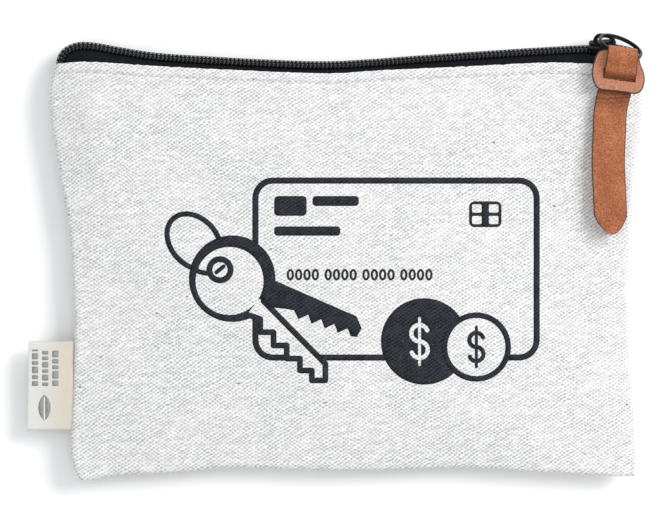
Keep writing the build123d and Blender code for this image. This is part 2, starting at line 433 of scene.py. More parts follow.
def canvas_weave(g):
    """Height of the canvas weave, 0 to 1: bumps drawn out into ribs that rise to the right."""
    x, y, _ = g.split(g.millimetres())
    wobble_x = g.times(g.minus(g.noise(g.millimetres(), 4.0), 0.5), 2.4)
    wobble_y = g.times(g.minus(g.noise(g.millimetres(stretch=(0.3, 1, 1)), 2.4), 0.5), 1.1)
    a = g.times(g.plus(x, wobble_x), math.pi / WEAVE_ACROSS)
    b = g.times(g.plus(y, wobble_y), math.pi / WEAVE_UP)
    rib = g.math("COSINE", g.minus(b, a))
    cross = g.math("COSINE", g.plus(b, a))
    height = g.plus(g.times(rib, 0.34), g.times(cross, 0.16))
    slub = g.noise(g.millimetres(rotate=(0, 0, -0.56), stretch=(0.4, 1, 1)), 1.1)
    return g.plus(g.times(height, g.ramp(slub, 0.25, 0.75, 0.55, 1.25)), 0.5)


def weave_bump(g, weave, depth):
    """The weave as a bump, with the fuzz of its yarns."""
    fuzz = g.noise(g.millimetres(), 0.28, detail=3.0)
    return g.bump(g.plus(weave, g.times(fuzz, 0.30)), depth)


# Flecks in the cotton: size of the cells that may hold one, how much of a cell it fills, the share of cells
# with none, and its colour
FLECKS = ((2.9, 0.10, 0.72, (0.16, 0.15, 0.145)),
          (6.3, 0.075, 0.60, (0.035, 0.03, 0.03)),
          (10.0, 0.05, 0.70, (0.30, 0.20, 0.09)))


def canvas_colour(g, weave):
    """White cotton with painted shade in the weave's hollows, soft blotches, dark seed flecks and a few brown
    ones.
    """
    place = g.millimetres()
    fibre = g.noise(g.millimetres(rotate=(0, 0, -0.5), stretch=(1.0, 3.0, 1.0)), 0.5, detail=3.0)
    blotch = g.noise(place, 14.0, detail=2.0)
    uneven = g.times(g.minus(g.noise(place, 0.9, detail=1.0), 0.5), 0.7)
    # painted shade: darker in the weave's hollows, lighter on its tops
    base = g.mix(g.ramp(g.plus(weave, uneven), 0.0, 0.72), (0.44, 0.437, 0.43), (0.84, 0.84, 0.84))
    base = g.mix(g.ramp(fibre, 0.35, 0.75, 0.0, 0.35), base, (0.70, 0.695, 0.68))
    base = g.mix(g.ramp(blotch, 0.4, 0.7, 0.0, 0.3), base, (0.83, 0.82, 0.795))
    for size, reach, without, shade in FLECKS:
        distance, cell = g.voronoi(g.millimetres(rotate=(0, 0, size), stretch=(0.75, 1.2, 0.3)), size)
        chosen = g.math("GREATER_THAN", g.split(cell)[0], without)
        fleck = g.times(g.ramp(distance, reach, reach * 0.35), chosen)
        base = g.mix(g.times(fleck, 0.8), base, shade)
    return base


def canvas_material():
    """Unbleached-white cotton canvas."""
    g = Graph("canvas")
    weave = canvas_weave(g)
    return g.finish(canvas_colour(g, weave), 0.92, weave_bump(g, weave, 0.36),
                    specular_ior_level=0.15, sheen_weight=0.25, sheen_roughness=0.6)


def ink_material():
    """Charcoal screen print: it sits on the weave and misses the deepest hollows and some fibres; a painted
    highlight makes it paler and bluer on the weave's tops.
    """
    g = Graph("screen_print")
    weave = canvas_weave(g)
    speck = g.noise(g.millimetres(), 0.33, detail=3.0, roughness=0.7)
    worn = g.times(g.ramp(speck, 0.60, 0.74), g.ramp(weave, 0.55, 0.15))
    ink = g.mix(g.ramp(g.noise(g.millimetres(), 3.0), 0.3, 0.7), (0.009, 0.011, 0.015), (0.023, 0.025, 0.032))
    # painted highlight: the ink is paler and bluer on the weave's tops
    ink = g.mix(g.ramp(weave, 0.45, 0.95, 0.0, 0.85), ink, (0.044, 0.049, 0.062))
    colour = g.mix(g.times(worn, 0.75), ink, (0.45, 0.45, 0.45))
    return g.finish(colour, 0.82, weave_bump(g, weave, 0.34), specular_ior_level=0.15)


def tape_material():
    """Black tape with fine ribs along it."""
    g = Graph("zipper_tape")
    x, y, z = g.split(g.millimetres())
    weave = g.times(g.waves(x, 0.55), g.waves(g.plus(y, g.times(z, 0.7)), 0.42))
    fuzz = g.noise(g.millimetres(), 0.35, detail=3.0)
    colour = g.mix(g.ramp(fuzz, 0.3, 0.8), (0.005, 0.006, 0.009), (0.018, 0.020, 0.026))
    return g.finish(colour, 0.85, g.bump(g.plus(weave, fuzz), 0.10, 0.8), specular_ior_level=0.06)


def nylon_material():
    """Black nylon wire, glossy on its rounds."""
    g = Graph("black_nylon")
    streak = g.noise(g.millimetres(), 0.6)
    colour = g.mix(g.ramp(streak, 0.3, 0.8), (0.003, 0.003, 0.005), (0.010, 0.011, 0.014))
    return g.finish(colour, g.ramp(streak, 0.2, 0.8, 0.16, 0.26), g.bump(streak, 0.03, 0.4),
                    specular_ior_level=0.42)


def cord_material():
    """Dark knitted cord, with painted shade in the hollows of its knit."""
    g = Graph("filler_cord")
    x, y, _ = g.split(g.millimetres())
    knit = g.math("SINE", g.times(g.plus(x, y), 9.0))
    # painted shade: darker in the knit's hollows, where the bump is low
    colour = g.mix(g.ramp(knit, -1, 1), (0.02, 0.02, 0.02), (0.05, 0.05, 0.05))
    return g.finish(colour, 0.9, g.bump(knit, 0.05))


def thread_material(name, light, dark):
    """Twisted thread, dark between its plies: a painted shade."""
    g = Graph(name)
    x, y, z = g.split(g.millimetres())
    twist = g.math("SINE", g.times(g.plus(x, g.times(g.plus(y, z), 1.6)), 16.0))
    # painted shade between the plies, where the twist's bump is low
    return g.finish(g.mix(g.ramp(twist, -0.9, 0.6), dark, light), 0.75, g.bump(twist, 0.05, 0.8),
                    specular_ior_level=0.2)


def enamel_material():
    """Black enamel on die-cast metal: soft orange peel, and a painted highlight that makes its edges a little
    greyer and bluer in patches.
    """
    g = Graph("black_enamel")
    peel = g.noise(g.millimetres(), 0.7)
    grain = g.noise(g.millimetres(), 0.12)
    edge = g.nodes.new("ShaderNodeNewGeometry").outputs["Pointiness"]
    # painted highlight: convex edges a little greyer and bluer, in patches
    painted_edge_highlight = g.times(g.ramp(edge, 0.56, 0.68), g.ramp(grain, 0.4, 0.7))
    colour = g.mix(g.times(painted_edge_highlight, 0.25), (0.003, 0.003, 0.005), (0.06, 0.065, 0.08))
    return g.finish(colour, g.ramp(grain, 0.2, 0.9, 0.24, 0.36), g.bump(peel, 0.05, 0.35),
                    specular_ior_level=0.09)


def ring_material():
    """Black-plated steel wire."""
    g = Graph("black_ring")
    brushed = g.noise(g.millimetres(), 0.25, detail=3.0)
    colour = g.mix(g.ramp(brushed, 0.3, 0.8), (0.004, 0.004, 0.006), (0.014, 0.016, 0.021))
    return g.finish(colour, g.ramp(brushed, 0.2, 0.8, 0.18, 0.3), g.bump(brushed, 0.02, 0.3),
                    specular_ior_level=0.16)


# The strap is dark and creased below the head: the creases' Y where they start, are full and fade out
CREASE_LOW = 44.5
CREASE_FULL = 49.5
CREASE_TOP = 53.0
CREASE_END = 54.5


def leather_grain_material():
    """Grain side: tan, with fine pores, paler pebbles, darker patches, and wrinkles below the head with
    painted shade in their grooves.
    """
    g = Graph("leather_grain")
    place = g.millimetres()
    pores, _ = g.voronoi(place, 0.42)
    cells, _ = g.voronoi(place, 0.9)
    fine = g.noise(place, 0.45, detail=4.0, roughness=0.7)
    patch = g.noise(g.millimetres(stretch=(1, 0.5, 1)), 5.0, detail=3.0)
    streak = g.noise(g.millimetres(stretch=(1.2, 0.6, 1)), 1.3, detail=3.0)
    colour = g.mix(g.ramp(patch, 0.3, 0.72), (0.345, 0.104, 0.038), (0.465, 0.162, 0.066))
    colour = g.mix(g.ramp(streak, 0.45, 0.8, 0.0, 0.4), colour, (0.460, 0.180, 0.080))
    pebble, _ = g.voronoi(g.millimetres(stretch=(1, 0.75, 1)), 0.75)
    colour = g.mix(g.ramp(pebble, 0.55, 0.28, 0.0, 0.22), colour, (0.560, 0.250, 0.120))
    colour = g.mix(g.ramp(fine, 0.38, 0.58, 0.80, 0.0), colour, (0.190, 0.050, 0.018))
    up = g.plus(g.split(place)[1], g.times(fine, 2.0))
    crease = g.times(g.ramp(up, CREASE_LOW, CREASE_FULL), g.ramp(up, CREASE_END, CREASE_TOP))
    colour = g.mix(g.times(crease, 0.55), colour, (0.150, 0.045, 0.018))
    fold = g.plus(g.split(place)[1], g.times(g.plus(patch, streak), 2.2))
    # the wrinkles' grooves sink in the bump and carry painted shade
    wrinkle_and_shade = g.times(crease, g.ramp(g.math("SINE", g.times(fold, 4.4)), 0.1, 0.95))
    colour = g.mix(g.times(wrinkle_and_shade, 0.4), colour, (0.110, 0.032, 0.016))
    height = g.plus(g.times(g.ramp(pores, 0.0, 0.5), 0.5),
                    g.plus(g.times(cells, 0.6), g.times(fine, 0.9)))
    height = g.minus(height, g.times(wrinkle_and_shade, 0.9))
    return g.finish(colour, g.ramp(fine, 0.3, 0.8, 0.46, 0.62), g.bump(height, 0.26), specular_ior_level=0.25)


def leather_flesh_material():
    """Flesh side: paler and pinker, with fine fibres that run aslant, and painted shade in the hollows
    between their ribs.
    """
    g = Graph("leather_flesh")
    slant = g.millimetres(rotate=(0, 0, -0.87), stretch=(1.6, 1.6, 1))
    fibre = g.noise(slant, 0.55, detail=4.0, roughness=0.65)
    rib = g.math("SINE", g.times(g.plus(g.split(slant)[1], fibre), 6.2))
    patch = g.noise(g.millimetres(), 3.5)
    colour = g.mix(g.ramp(fibre, 0.3, 0.75), (0.375, 0.142, 0.080), (0.680, 0.325, 0.205))
    colour = g.mix(g.ramp(patch, 0.35, 0.7, 0.0, 0.35), colour, (0.400, 0.150, 0.075))
    # painted shade: darker in the hollows between the ribs
    colour = g.mix(g.ramp(rib, 0.2, -0.9, 0.0, 0.30), colour, (0.270, 0.095, 0.048))
    height = g.plus(fibre, g.times(rib, 0.30))
    return g.finish(colour, 0.85, g.bump(height, 0.20), specular_ior_level=0.2, sheen_weight=0.2)


def leather_edge_material():
    """Cut edge: dark, burnished brown with a purple cast and layered fibres."""
    g = Graph("leather_edge")
    layers = g.noise(g.millimetres(stretch=(0.5, 0.5, 4.0)), 0.5, detail=3.0)
    colour = g.mix(g.ramp(layers, 0.3, 0.7), (0.035, 0.014, 0.016), (0.105, 0.040, 0.030))
    return g.finish(colour, 0.6, g.bump(layers, 0.08, 0.7), specular_ior_level=0.35)


def twill(g):
    """Slanting ribs of the label's ribbon."""
    x, y, _ = g.split(g.millimetres())
    return g.waves(g.plus(y, g.times(x, 0.7)), 0.42)


def ribbon_material(left, right):
    """Cream twill ribbon, a little yellower and darker towards the seam on its right, with painted shade in
    the hollows of its ribs.
    """
    g = Graph("label_ribbon")
    ribs = twill(g)
    fibre = g.noise(g.millimetres(stretch=(3, 0.6, 1)), 0.5)
    along = g.split(g.millimetres())[0]
    tone = g.mix(g.ramp(along, left, right), (0.83, 0.83, 0.815), (0.70, 0.64, 0.545))
    # painted shade: darker in the hollows of the twill's ribs
    colour = g.mix(g.ramp(ribs, -1.0, 0.6, 0.45, 0.0), tone, (0.50, 0.48, 0.43))
    return g.finish(colour, 0.62, g.bump(g.plus(ribs, fibre), 0.06, 0.8),
                    specular_ior_level=0.35, sheen_weight=0.3, sheen_roughness=0.4)


def label_ink_material():
    """Grey ink, thin over the ribbon's ribs."""
    g = Graph("label_print")
    speck = g.noise(g.millimetres(), 0.3)
    colour = g.mix(g.ramp(speck, 0.35, 0.75), (0.24, 0.24, 0.245), (0.40, 0.40, 0.395))
    return g.finish(colour, 0.7, g.bump(twill(g), 0.05, 0.8))


def floor_material():
    """Pale, nearly even floor."""
    g = Graph("floor")
    shade = g.noise(g.millimetres(), 180.0, detail=1.0)
    colour = g.mix(shade, (0.92, 0.92, 0.92), (0.94, 0.94, 0.94))
    return g.finish(colour, 0.9, specular_ior_level=0.05)


CANVAS = canvas_material()
INK = ink_material()
TAPE = tape_material()
NYLON = nylon_material()
CORD = cord_material()
CREAM_THREAD = thread_material("cream_thread", (0.80, 0.79, 0.76), (0.46, 0.45, 0.43))
BLACK_THREAD = thread_material("black_thread", (0.010, 0.011, 0.015), (0.004, 0.004, 0.006))
ENAMEL = enamel_material()
RING = ring_material()
GRAIN = leather_grain_material()
FLESH = leather_flesh_material()
EDGE = leather_edge_material()
RIBBON = ribbon_material(LABEL_LOW.x, LABEL_HIGH.x)
LABEL_INK = label_ink_material()


# ---------------------------------------------------------------- canvas panels

CLOTH = 0.6
CLOTH_STEP = 1.25
PANEL_WIDTH = 176
PANEL_HEIGHT = 125
EDGE_ROLL = 1.25
SEAM_STAND = 0.06
FRONT_RISE = 3.9
BACK_DROP = 9.2
DOME_POWER = 2.5
# The mouth's half depth under the zipper, the fraction up the panel where it starts and how soon it is full
MOUTH_HALF = 4.3
MOUTH_FROM = 0.6
MOUTH_BAND = 0.26
# The hem's fold, its depth, and its row of stitches below the top edge
HEM_RADIUS = CLOTH * 0.8
HEM_FOLD = 7.5
STITCH_BELOW = 2.7
# Waves over the cloth (height, length, seed), and how far gathers reach in from a seam
WAVES = ((0.42, 34, 0), (0.16, 13, 3))
GATHER_REACH = 4.5
FRAY = 0.16
# The back rests on the floor: how softly it meets it, and its clearance
FLOOR_SOFTNESS = 0.12
FLOOR_CLEARANCE = 0.02

EDGES = (LEFT_EDGE, RIGHT_EDGE, BOTTOM_EDGE, TOP_EDGE)
LEFT, RIGHT, BOTTOM, TOP = (curve_points(edge, 240) for edge in EDGES)


def panel_place(u, v):
    """X and Y of the cloth at fractions u along and v up the panel."""
    left, right = sample(LEFT, v), sample(RIGHT, v)
    low, high = sample(BOTTOM, u), sample(TOP, u)
    u, v = u[:, None], v[:, None]
    corners = (BOTTOM[0] * (1 - u) + BOTTOM[-1] * u) * (1 - v) + (TOP[0] * (1 - u) + TOP[-1] * u) * v
    return left * (1 - u) + right * u + low * (1 - v) + high * v - corners


def stations(length, fine_start, fine_end):
    """Fractions from 0 to 1: fine steps near each end, even ones between."""
    start = [s / length for s in fine_start]
    end = [1 - s / length for s in reversed(fine_end)]
    count = round((end[0] - start[-1]) * length / CLOTH_STEP)
    return np.array(start + list(np.linspace(start[-1], end[0], count + 1)[1:-1]) + end)


def ridge(distance, half_width):
    """Bell curve, 1 where distance is 0."""
    return np.exp(-(distance / half_width) ** 2)


def gather(along, away, length, seed):
    """Small folds square to a seam, which die away from it."""
    folds = value_noise(along, away * 0.12, length, seed)
    return lambda distance: folds * np.exp(-distance / GATHER_REACH) * smooth(distance / 1.2)


def panel_height(x, y, u, v, rise, seed):
    """How far the cloth stands out of the seam plane."""
    width, height = RIGHT[:, 0].mean() - LEFT[:, 0].mean(), TOP[:, 1].mean() - BOTTOM[:, 1].mean()
    from_side = np.minimum(u, 1 - u) * width
    from_bottom, from_top = v * height, (1 - v) * height
    edge = np.minimum(from_side, from_bottom)
    roll = EDGE_ROLL * np.sqrt(np.clip(1 - (1 - np.clip(edge / EDGE_ROLL, 0, 1)) ** 2, 0, 1))
    dome = (1 - np.abs(2 * u - 1) ** DOME_POWER) * (1 - np.abs(2 * v - 1) ** DOME_POWER)
    mouth = (MOUTH_HALF - EDGE_ROLL) * smooth((v - MOUTH_FROM) / MOUTH_BAND) * smooth(from_side / 15) ** 0.6
    out = roll + np.hypot(rise * dome, mouth)
    for depth, length, shift in WAVES:
        out += smooth(edge / 9) * depth * value_noise(x, y, length, seed + shift)
    out += 0.42 * gather(y, x, 5.5, seed + 7)(from_side)
    out += 0.38 * gather(x, y, 6.0, seed + 11)(from_bottom)
    # the hem's ridge, with the groove of its stitches
    hem = smooth((STITCH_BELOW - from_top) / 0.7 + 0.4)
    out += hem * (0.22 + 0.10 * value_noise(x, y * 0.3, 2.9, seed + 17))
    out -= 0.48 * ridge(from_top - STITCH_BELOW, 0.34)
    # a soft fold out of the lower left corner
    right_of, above = x - BOTTOM[0][0], y - BOTTOM[0][1]
    out -= 0.7 * ridge(above - 0.33 * right_of - 1.6, 1.1) * smooth(right_of / 4) * smooth(1 - right_of / 22)
    return out


def hem(sheet, side):
    """Rows of the hem: over the top in a tight fold, then down behind the cloth."""
    rows = []
    for turn in np.linspace(0, math.pi, 8)[1:]:
        rows.append(sheet[:, -1] + HEM_RADIUS * np.array([0, math.sin(turn), -side * (1 - math.cos(turn))]))
    for down in (1.2, 2.6, 4.2, 5.9, HEM_FOLD):
        row = sheet[:, -1] - [0, down, 0]
        row[:, 2] = [np.interp(y, line[:, 1], line[:, 2]) for y, line in zip(row[:, 1], sheet)]
        row[:, 2] -= side * 2 * HEM_RADIUS
        rows.append(row)
    return np.stack(rows, axis=1)


def panel(name, side):
    """One canvas panel, front (1) or back (-1), with its top edge folded in; also its grid of points."""
    edge_steps = [0, 0.08, 0.25, 0.5, 0.85, 1.3, 1.9, 2.7, 3.7]
    top_steps = [0, 0.25, 0.6] + [1 + 0.38 * k for k in range(14)]
    us, vs = stations(PANEL_WIDTH, edge_steps, edge_steps), stations(PANEL_HEIGHT, edge_steps, top_steps)
    u, v = (a.ravel() for a in np.meshgrid(us, vs, indexing="ij"))
    x, y = panel_place(u, v).T
    y = y + FRAY * value_noise(x, y * 0, 1.4, 60.0 + side) * smooth((v - 0.975) / 0.025)
    rise, seed = (FRONT_RISE, 1.0) if side > 0 else (BACK_DROP, 40.0)
    z = SEAM_Z + side * (SEAM_STAND + panel_height(x, y, u, v, rise, seed))
    if side < 0:
        z = 0.5 * (z + np.sqrt(z * z + 4 * FLOOR_SOFTNESS**2)) + FLOOR_CLEARANCE
    sheet = np.column_stack([x, y, z]).reshape(len(us), len(vs), 3)
    sheet = np.concatenate([sheet, hem(sheet, side)], axis=1)
    faces = grid_faces(*sheet.shape[:2])
    if side > 0:
        faces = [f[::-1] for f in faces]
    return make_object(name, sheet.reshape(-1, 3), faces, CANVAS), sheet


def surface_of(obj):
    """Ray-cast tree of an object's mesh, in metres."""
    corners = [v.co.copy() for v in obj.data.vertices]
    return BVHTree.FromPolygons(corners, [tuple(p.vertices) for p in obj.data.polygons])


def on_cloth(tree, x, y, lift, side=1):
    """Height of a point that stands off the cloth's outer face by lift, at the front (1) or the back (-1)."""
    hit, _, _, _ = tree.ray_cast(Vector((x * MM, y * MM, side * 0.2)), Vector((0, 0, -side)))
    return (hit.z / MM if hit else SEAM_Z) + side * lift


front_panel, FRONT_SHEET = panel("canvas_front", 1)
back_panel, BACK_SHEET = panel("canvas_back", -1)
FRONT_TREE = surface_of(front_panel)
thicken(front_panel, CLOTH)
thicken(back_panel, CLOTH)
settle(front_panel, "pouch", "front_panel")
settle(back_panel, "pouch", "back_panel")


# ---------------------------------------------------------------- prints

INK_FILM = 0.03
INK_LIFT = 0.05
SLIVER = 0.02


def rounded_rectangle(x0, y0, x1, y1, radius, steps=8):
    """Outline of a rectangle with round corners, anticlockwise."""
    centres = ((x1 - radius, y0 + radius), (x1 - radius, y1 - radius),
               (x0 + radius, y1 - radius), (x0 + radius, y0 + radius))
    return round_corners(centres, radius, steps)


def turned(points, cx, cy, angle):
    """Points turned by an angle in degrees and moved to (cx, cy)."""
    c, s = math.cos(math.radians(angle)), math.sin(math.radians(angle))
    return [(cx + x * c - y * s, cy + x * s + y * c) for x, y in points]


def disc(cx, cy, rx, ry=None, angle=0.0, steps=56):
    """Outline of a circle or of a turned ellipse."""
    return turned(circle(rx, steps, (ry or rx) / rx), cx, cy, angle)


def stroke(points, width):
    """Line of even width with round joints, as the outlines that make it up."""
    outlines = [disc(x, y, width / 2, steps=12) for x, y in points]
    for (x0, y0), (x1, y1) in zip(points, points[1:]):
        length = math.hypot(x1 - x0, y1 - y0)
        sx, sy = -(y1 - y0) / length * width / 2, (x1 - x0) / length * width / 2
        outlines.append([(x0 + sx, y0 + sy), (x0 - sx, y0 - sy), (x1 - sx, y1 - sy), (x1 + sx, y1 + sy)])
    return outlines


def printed(name, shapes, height_at, material, step):
    """Print as a thin film: each shape is (outlines to fill, outlines left open)."""
    bm = bmesh.new()
    for outlines, holes in shapes:
        outlines, holes = ([divided(o, step) for o in group] for group in (outlines, holes))
        fill(bm, outlines, holes, height_at, step, clear=step * 0.45)
    bmesh.ops.dissolve_degenerate(bm, dist=SLIVER, edges=bm.edges)
    face_up(bm)
    return thicken(from_bmesh(name, bm, material), INK_FILM)


def coin_sign(cx, cy, size, width):
    """A plain S and a bar, for money."""
    bowl = 0.25 * size
    curl = arc(cx, cy + bowl, bowl, 20, 270) + arc(cx, cy - bowl, bowl, 90, -160)[1:]
    return stroke(curl, width) + stroke([(cx, cy - 0.70 * size), (cx, cy + 0.70 * size)], width * 0.7)


def chip():
    """Chip with four contacts, in place of a mark."""
    x0, y0, x1, y1 = 40.6, 9.2, 50.4, 17.0
    rim, bar_left, bar_right, bar_low, bar_high = 0.9, 44.4, 46.6, 12.6, 13.6
    contacts = [rounded_rectangle(left, low, right, high, 0.4)
                for left, right in ((x0 + rim, bar_left), (bar_right, x1 - rim))
                for low, high in ((y0 + rim, bar_low), (bar_high, y1 - rim))]
    return [rounded_rectangle(x0, y0, x1, y1, 1.6)], contacts


def front_print():
    """Payment card, key and two coins, as plain pictograms."""
    x0, y0, x1, y1, corner, line = -25.0, -31.2, 62.0, 24.2, 6.2, 1.85
    card = rounded_rectangle(x0, y0, x1, y1, corner)
    card_inner = rounded_rectangle(x0 + line, y0 + line, x1 - line, y1 - line, corner - line)
    big_place, small_place, bow_place = (27.0, -25.4), (42.8, -27.1), (-31.1, -6.4)
    big_coin, small_coin, bow = disc(*big_place, 13.1), disc(*small_place, 10.5), disc(*bow_place, 13.1)
    open_blade = [(-26.2, -17.4), (-22.6, -18.6), (-22.6, -22.6), (-18.6, -22.6), (-18.6, -26.6),
                  (-14.6, -26.6), (-14.6, -30.6), (-10.6, -30.6), (-10.6, -34.2), (-7.0, -34.2),
                  (-7.0, -37.2), (-2.9, -37.2), (-2.9, -32.2), (-21.6, -13.2)]
    # the card's line stops where the key and the coins cover it
    shapes = [([card], [card_inner, disc(*bow_place, 13.0), big_coin, small_coin, open_blade]), chip()]
    # a block and bars, in place of a name
    shapes += [([rounded_rectangle(-18.4, 12.6, -8.6, 18.6, 1.2)], []),
               ([rounded_rectangle(-6.8, 15.6, 7.2, 18.6, 1.0)], []),
               ([rounded_rectangle(-18.4, 6.6, 1.6, 9.4, 1.0)], [])]
    # four groups of four zeros
    for group in range(4):
        for digit in range(4):
            place = (-13.5 + group * 11.45 + digit * 2.52, -5.2)
            shapes.append(([disc(*place, 1.12, 1.76, steps=28)], [disc(*place, 0.42, 1.06, steps=20)]))
    shapes += [([big_coin], coin_sign(25.6, big_place[1], 10.0, 1.3) + [small_coin]),
               ([small_coin], [disc(*small_place, 8.8)]),
               (coin_sign(*small_place, 8.6, 1.3), [])]
    # key: bow with a crescent, a dark blade and an open one in front
    neck = [(-26.6, -17.2), (-23.0, -12.4), (-20.6, -14.2), (-23.4, -18.6)]
    dark_blade = [(0, 4.4), (27.6, 3.6), (30.4, 0.8), (30.0, -2.2), (28.2, -2.6), (26.4, -0.8),
                  (24.2, -3.2), (22.2, -1.0), (20.0, -3.4), (18.0, -1.2), (15.8, -3.6), (13.8, -1.4),
                  (11.6, -3.8), (9.4, -1.8), (6.6, -2.4), (1.2, -4.0)]
    shapes += [([bow], [disc(bow_place[0] - 0.8, bow_place[1] - 0.7, 10.3), neck]),
               ([turned(dark_blade, -20.4, -10.8, -22)], []),
               (stroke(open_blade, 1.75), [])]
    # the ring goes through the hole in the bow
    hole, loop, loop_turn = (-34.8, -3.7), (-42.7, 4.8), -48
    shapes += [([disc(*hole, 4.1)], [disc(*hole, 2.3)]),
               (stroke([(-35.9, -4.5), (-33.7, -2.7)], 1.2), []),
               ([disc(*loop, 10.2, 7.8, loop_turn)],
                [disc(*loop, 8.6, 6.2, loop_turn), disc(*bow_place, 11.8)]),
               (stroke([(-42.8, -2.9), (-41.2, -4.3), (-38.9, -4.8)], 1.5), [])]
    return printed("front_print", shapes, lambda x, y: on_cloth(FRONT_TREE, x, y, INK_LIFT), INK, 1.6)


front_ink = front_print()
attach(front_ink, "pouch")


# ---------------------------------------------------------------- zipper

# Middle of the chain, from the left seam to the right one, and how far it leans back
CHAIN_LINE = [(-83.2, 56.6), (-83.4, 59.2), (-82.5, 61.6), (-80.6, 63.2), (-77.2, 64.2), (-72.0, 63.8),
              (-66.0, 62.7), (-54.4, 60.9), (-40.0, 59.9), (-20.0, 58.8), (-3.3, 58.3), (10.0, 58.9),
              (26.2, 60.1), (51.0, 61.8), (66.0, 62.7), (77.0, 63.2), (85.0, 63.0), (91.4, 61.6)]
CHAIN_LEAN = math.radians(32)
COIL_PITCH = 1.25
COIL_WIRE = 0.31
COIL_MIDDLE = 0.92
COIL_REACH = 0.76
COIL_HEIGHT = 0.44
POINTS_PER_TURN = 14
CORD_MIDDLE = 0.98
CORD_RADIUS = 0.17
SEWING_AWAY = (0.72, 1.50)
SEWING_RADIUS = 0.12
TAPE_THICKNESS = 0.35


def chain_frame(count):
    """Middle line of the chain with its across and outward directions."""
    line = np.column_stack([curve_points(CHAIN_LINE, count), np.full(count, SEAM_Z)])
    above = np.cross([0, 0, 1.0], tangents(line))
    forward = np.array([0, 0, 1.0])
    across = math.cos(CHAIN_LEAN) * forward - math.sin(CHAIN_LEAN) * above
    outward = math.cos(CHAIN_LEAN) * above + math.sin(CHAIN_LEAN) * forward
    return line, across, outward


def chain_spread(x):
    """How far each coil stands off the middle line: the chain opens in front of the slider."""
    return 1.0 * smooth((x - SLIDER_X + 2.2) / 4.5)


def coil(name, side):
    """Nylon coil, an oval helix half a pitch behind its partner, and the threads that sew it to its tape."""
    chain = chain_frame(1200)
    run = run_along(chain[0])
    at = np.linspace(0, run[-1], int(run[-1] / COIL_PITCH * POINTS_PER_TURN))
    phase = 2 * math.pi * at / COIL_PITCH + (0 if side > 0 else math.pi)
    centre, across, outward = (np.column_stack([np.interp(at, run, values) for values in way.T])
                               for way in chain)
    spread = chain_spread(centre[:, 0])

    def beside(away, height):
        return centre + across * (side * away)[:, None] + outward * height[:, None]

    wire = beside(COIL_MIDDLE + COIL_REACH * np.cos(phase) + spread, COIL_HEIGHT * np.sin(phase))
    pieces = [tube(name, wire, circle(COIL_WIRE, 6), NYLON, up=outward.mean(0))]
    for away in SEWING_AWAY:
        thread = beside(away + spread, 0.42 + 0.14 * np.cos(2 * phase))
        pieces.append(tube("coil_thread", thread[::2], circle(SEWING_RADIUS, 5), BLACK_THREAD))
    return join(name, pieces)


def coil_cord(name, side):
    """Filler cord through the coil."""
    line, across, _ = chain_frame(200)
    path = line + across * (side * (CORD_MIDDLE + chain_spread(line[:, 0])))[:, None]
    return tube(name, path, circle(CORD_RADIUS, 8), CORD)


def tape(name, side, sheet):
    """Woven tape: under its coil, out over the fold and down inside the panel."""
    count, points_across = 180, 18
    line, across, outward = chain_frame(count)
    tops = np.array([row[np.argmax(row[:, 1])] for row in sheet])
    top_y, top_z = (np.interp(line[:, 0], tops[:, 0], tops[:, k]) for k in (1, 2))
    inner_z = top_z - side * (HEM_RADIUS + 0.75)
    rows = []
    for i in range(count):
        start, out, brow = (line[i] + across[i] * side * away - outward[i] * below
                            for away, below in ((0.25, 0.62), (2.0, 0.66), (2.9, 1.1)))
        inner_x = np.clip(line[i, 0], TOP[0, 0] + 2.2, TOP[-1, 0] - 1.5)
        down = np.array([inner_x, min(top_y[i] - 0.6, brow[1] - 0.5), inner_z[i]])
        low = down - [0, 8.0, side * 0.2]
        rows.append(curve_points([start, out, brow, down, low], points_across))
    faces = grid_faces(count, points_across)
    if side < 0:
        faces = [f[::-1] for f in faces]
    return thicken(make_object(name, np.array(rows).reshape(-1, 3), faces, TAPE), TAPE_THICKNESS)


for side, place, sheet in ((1, "front", FRONT_SHEET), (-1, "back", BACK_SHEET)):
    settle(coil(f"{place}_coil_loops", side), "pouch", f"{place}_coil")
    settle(coil_cord(f"{place}_filler_cord", side), "pouch", f"{place}_coil_cord")
    settle(tape(f"{place}_woven_tape", side, sheet), "pouch", f"{place}_tape")


# ---------------------------------------------------------------- sewing

THREAD_RADIUS = 0.2
THREAD_LIFT = 0.10
STITCHES = 61
# Where on its pitch a stitch starts and ends
STITCH_SPAN = (0.1, 0.86)
SEAM_INSET = 1.1


def stitch(start, end, radius, out, rings=5, around=8):
    """Vertices of a short thread on a cloth that faces out (1 or -1); both ends dip into it."""
    start, way = np.array(start), np.array(end) - np.array(start)
    upwards = np.array([0, 0, 1.0])
    side = np.cross(way, upwards)
    side /= np.linalg.norm(side)
    vertices = []
    for t in np.linspace(0, 1, rings):
        centre = start + way * t - upwards * out * radius * 1.5 * (2 * t - 1) ** 4
        for a, b in circle(radius * (0.55 + 0.45 * math.sin(math.pi * t)), around):
            vertices.append(centre + side * a + upwards * b)
    return vertices, capped_rings(rings, around)


def stitches(name, side, obj):
    """Row of stitches that lie in the groove below the tape."""
    tree = surface_of(obj)
    line = curve_points([(x, y - STITCH_BELOW) for x, y in TOP_EDGE], STITCHES + 3)
    vertices, faces = [], []
    for a, b in zip(line[1:-2], line[2:-1]):
        ends = [a + (b - a) * t for t in STITCH_SPAN]
        ends = [(x, y, on_cloth(tree, x, y, THREAD_LIFT, side)) for x, y in ends]
        new_vertices, new_faces = stitch(*ends, THREAD_RADIUS, side)
        faces += [tuple(len(vertices) + k for k in f) for f in new_faces]
        vertices += new_vertices
    return face_outwards(make_object(name, vertices, faces, CREAM_THREAD))


